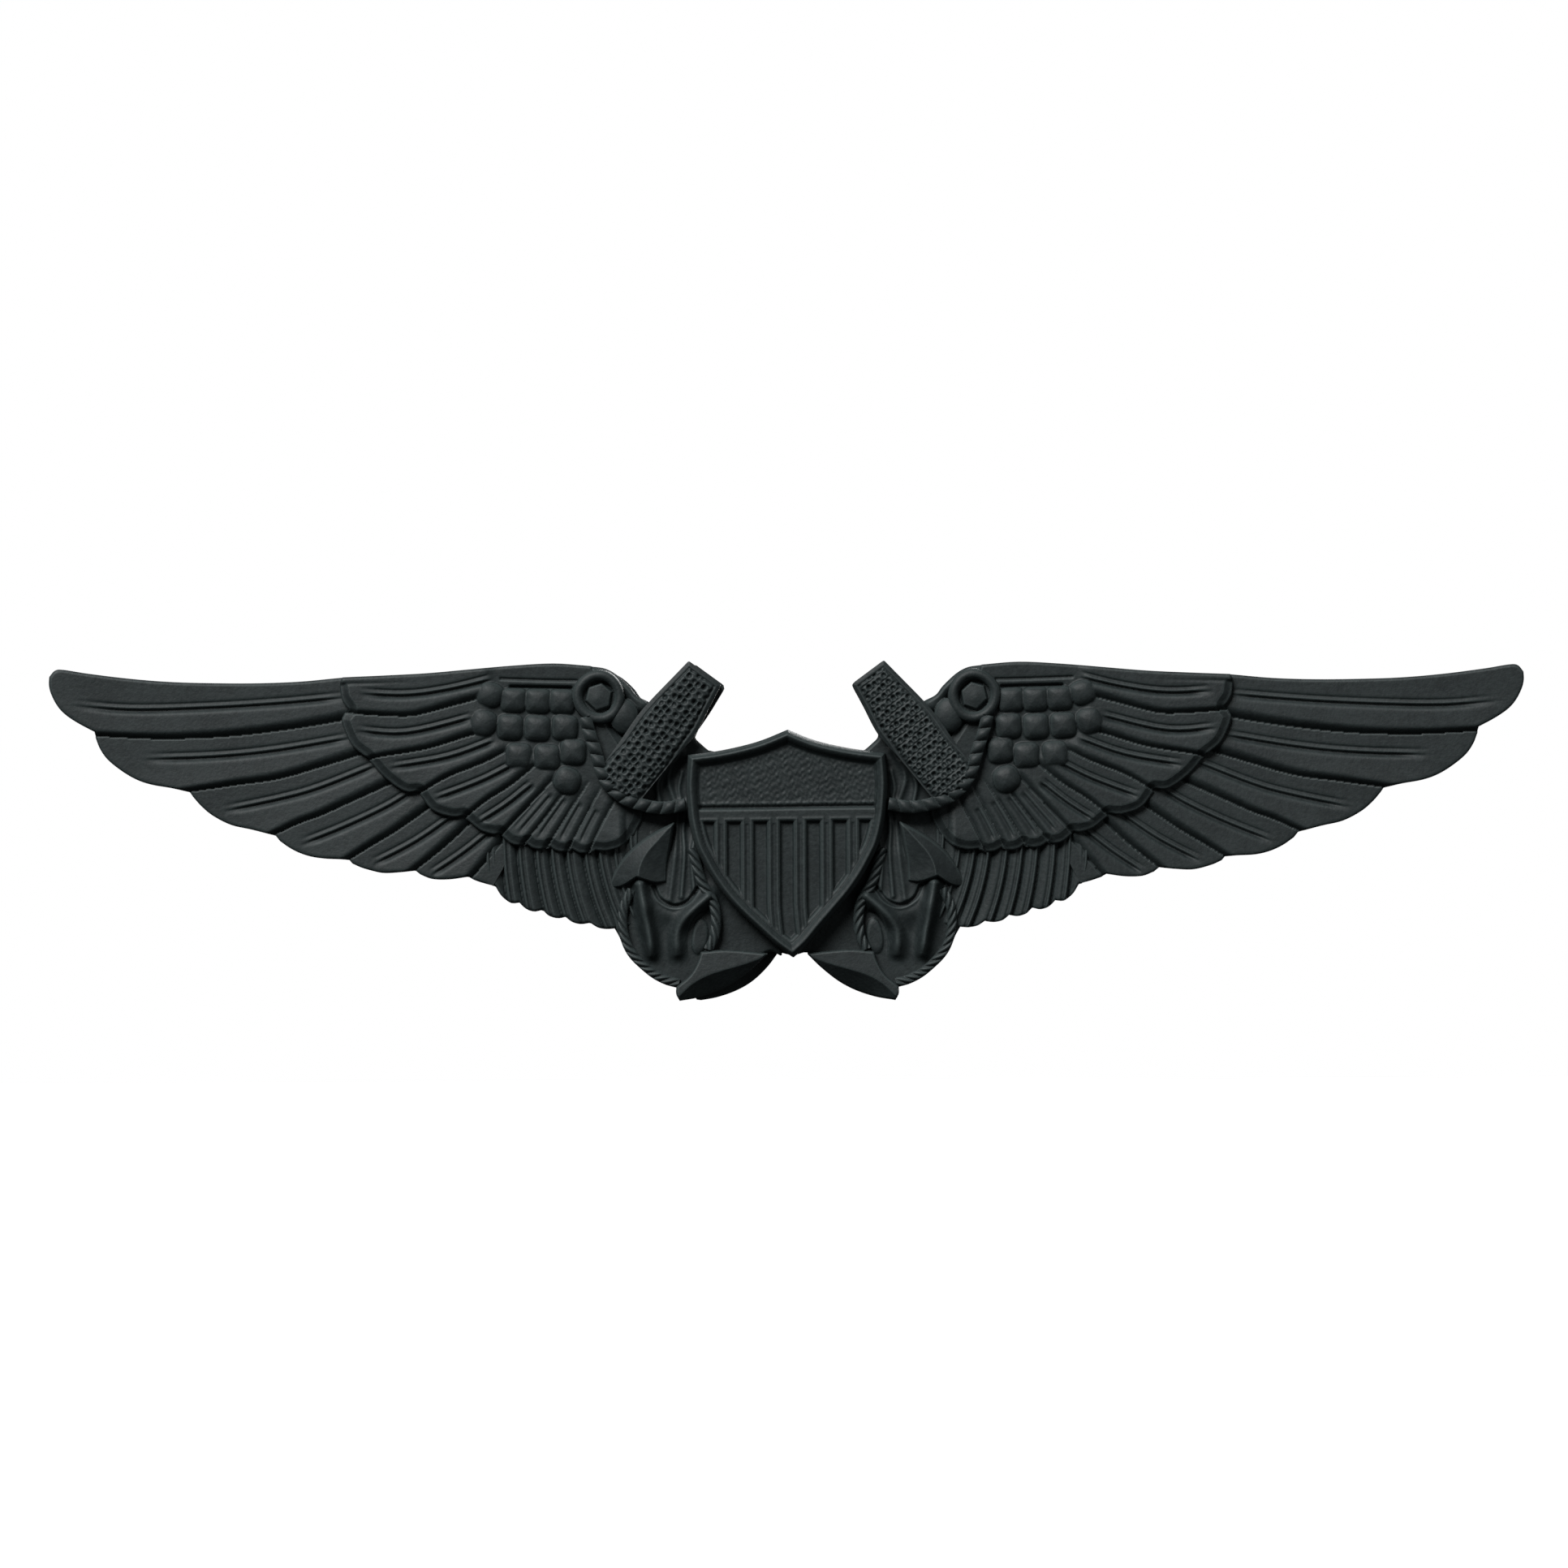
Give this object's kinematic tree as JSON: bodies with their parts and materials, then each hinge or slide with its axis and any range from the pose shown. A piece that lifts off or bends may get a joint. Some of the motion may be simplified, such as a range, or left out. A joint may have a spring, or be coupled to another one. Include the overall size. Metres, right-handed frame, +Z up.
{
  "type": "wings badge pin",
  "caption": "Flight crew wings badge: a striped shield over crossed anchors between feathered wings, with nail posts on its flat back and squeeze clutches that hold it to cloth.",
  "frame": {"origin": "where the centre post's axis meets the badge's flat back", "axes": "as worn: +Z up, +X to the right of someone facing the badge, +Y out of the back along the posts; the struck front faces -Y"},
  "size_m": [0.0698, 0.0114, 0.016],
  "materials": {
    "black_finish": "satin black over struck brass, slightly green",
    "solder": "dull grey solder",
    "brass": "stamped sheet brass, lightly worn",
    "spring_steel": "drawn wire"
  },
  "bodies": {
    "badge": {"badge_plate": "black_finish", "post_left": "black_finish", "post_centre": "black_finish", "post_right": "black_finish", "post_solder_left": "solder", "post_solder_centre": "solder", "post_solder_right": "solder"},
    "clutch_left": {"clutch_base_left": "brass", "clutch_cover_left": "brass", "clutch_spring_left": "spring_steel"},
    "lever_a_left": {"clutch_lever_a_left": "brass"},
    "lever_b_left": {"clutch_lever_b_left": "brass"},
    "clutch_centre": {"clutch_base_centre": "brass", "clutch_cover_centre": "brass", "clutch_spring_centre": "spring_steel"},
    "lever_a_centre": {"clutch_lever_a_centre": "brass"},
    "lever_b_centre": {"clutch_lever_b_centre": "brass"},
    "clutch_right": {"clutch_base_right": "brass", "clutch_cover_right": "brass", "clutch_spring_right": "spring_steel"},
    "lever_a_right": {"clutch_lever_a_right": "brass"},
    "lever_b_right": {"clutch_lever_b_right": "brass"}
  },
  "joints": [
    {"name": "clutch_slide_left", "type": "slide", "parent": "badge", "child": "clutch_left", "axis": [0, 1, 0], "range_m": [-0.0021, 0.007]},
    {"name": "ear_a_left", "type": "hinge", "parent": "clutch_left", "child": "lever_a_left", "pos_m": [-0.0098, 0.0049, 0.0031], "axis": [0, 0, 1], "range_deg": [0, 12], "stiffness_Nm_per_rad": 0.05},
    {"name": "ear_b_left", "type": "hinge", "parent": "clutch_left", "child": "lever_b_left", "pos_m": [-0.0142, 0.0049, 0.0031], "axis": [0, 0, -1], "range_deg": [0, 12], "stiffness_Nm_per_rad": 0.05},
    {"name": "clutch_slide_centre", "type": "slide", "parent": "badge", "child": "clutch_centre", "axis": [0, 1, 0], "range_m": [-0.0021, 0.007]},
    {"name": "ear_a_centre", "type": "hinge", "parent": "clutch_centre", "child": "lever_a_centre", "pos_m": [0.0022, 0.0049, 0], "axis": [0, 0, 1], "range_deg": [0, 12], "stiffness_Nm_per_rad": 0.05},
    {"name": "ear_b_centre", "type": "hinge", "parent": "clutch_centre", "child": "lever_b_centre", "pos_m": [-0.0022, 0.0049, 0], "axis": [0, 0, -1], "range_deg": [0, 12], "stiffness_Nm_per_rad": 0.05},
    {"name": "clutch_slide_right", "type": "slide", "parent": "badge", "child": "clutch_right", "axis": [0, 1, 0], "range_m": [-0.0021, 0.007]},
    {"name": "ear_a_right", "type": "hinge", "parent": "clutch_right", "child": "lever_a_right", "pos_m": [0.0142, 0.0049, 0.0031], "axis": [0, 0, 1], "range_deg": [0, 12], "stiffness_Nm_per_rad": 0.05},
    {"name": "ear_b_right", "type": "hinge", "parent": "clutch_right", "child": "lever_b_right", "pos_m": [0.0098, 0.0049, 0.0031], "axis": [0, 0, -1], "range_deg": [0, 12], "stiffness_Nm_per_rad": 0.05}
  ]
}
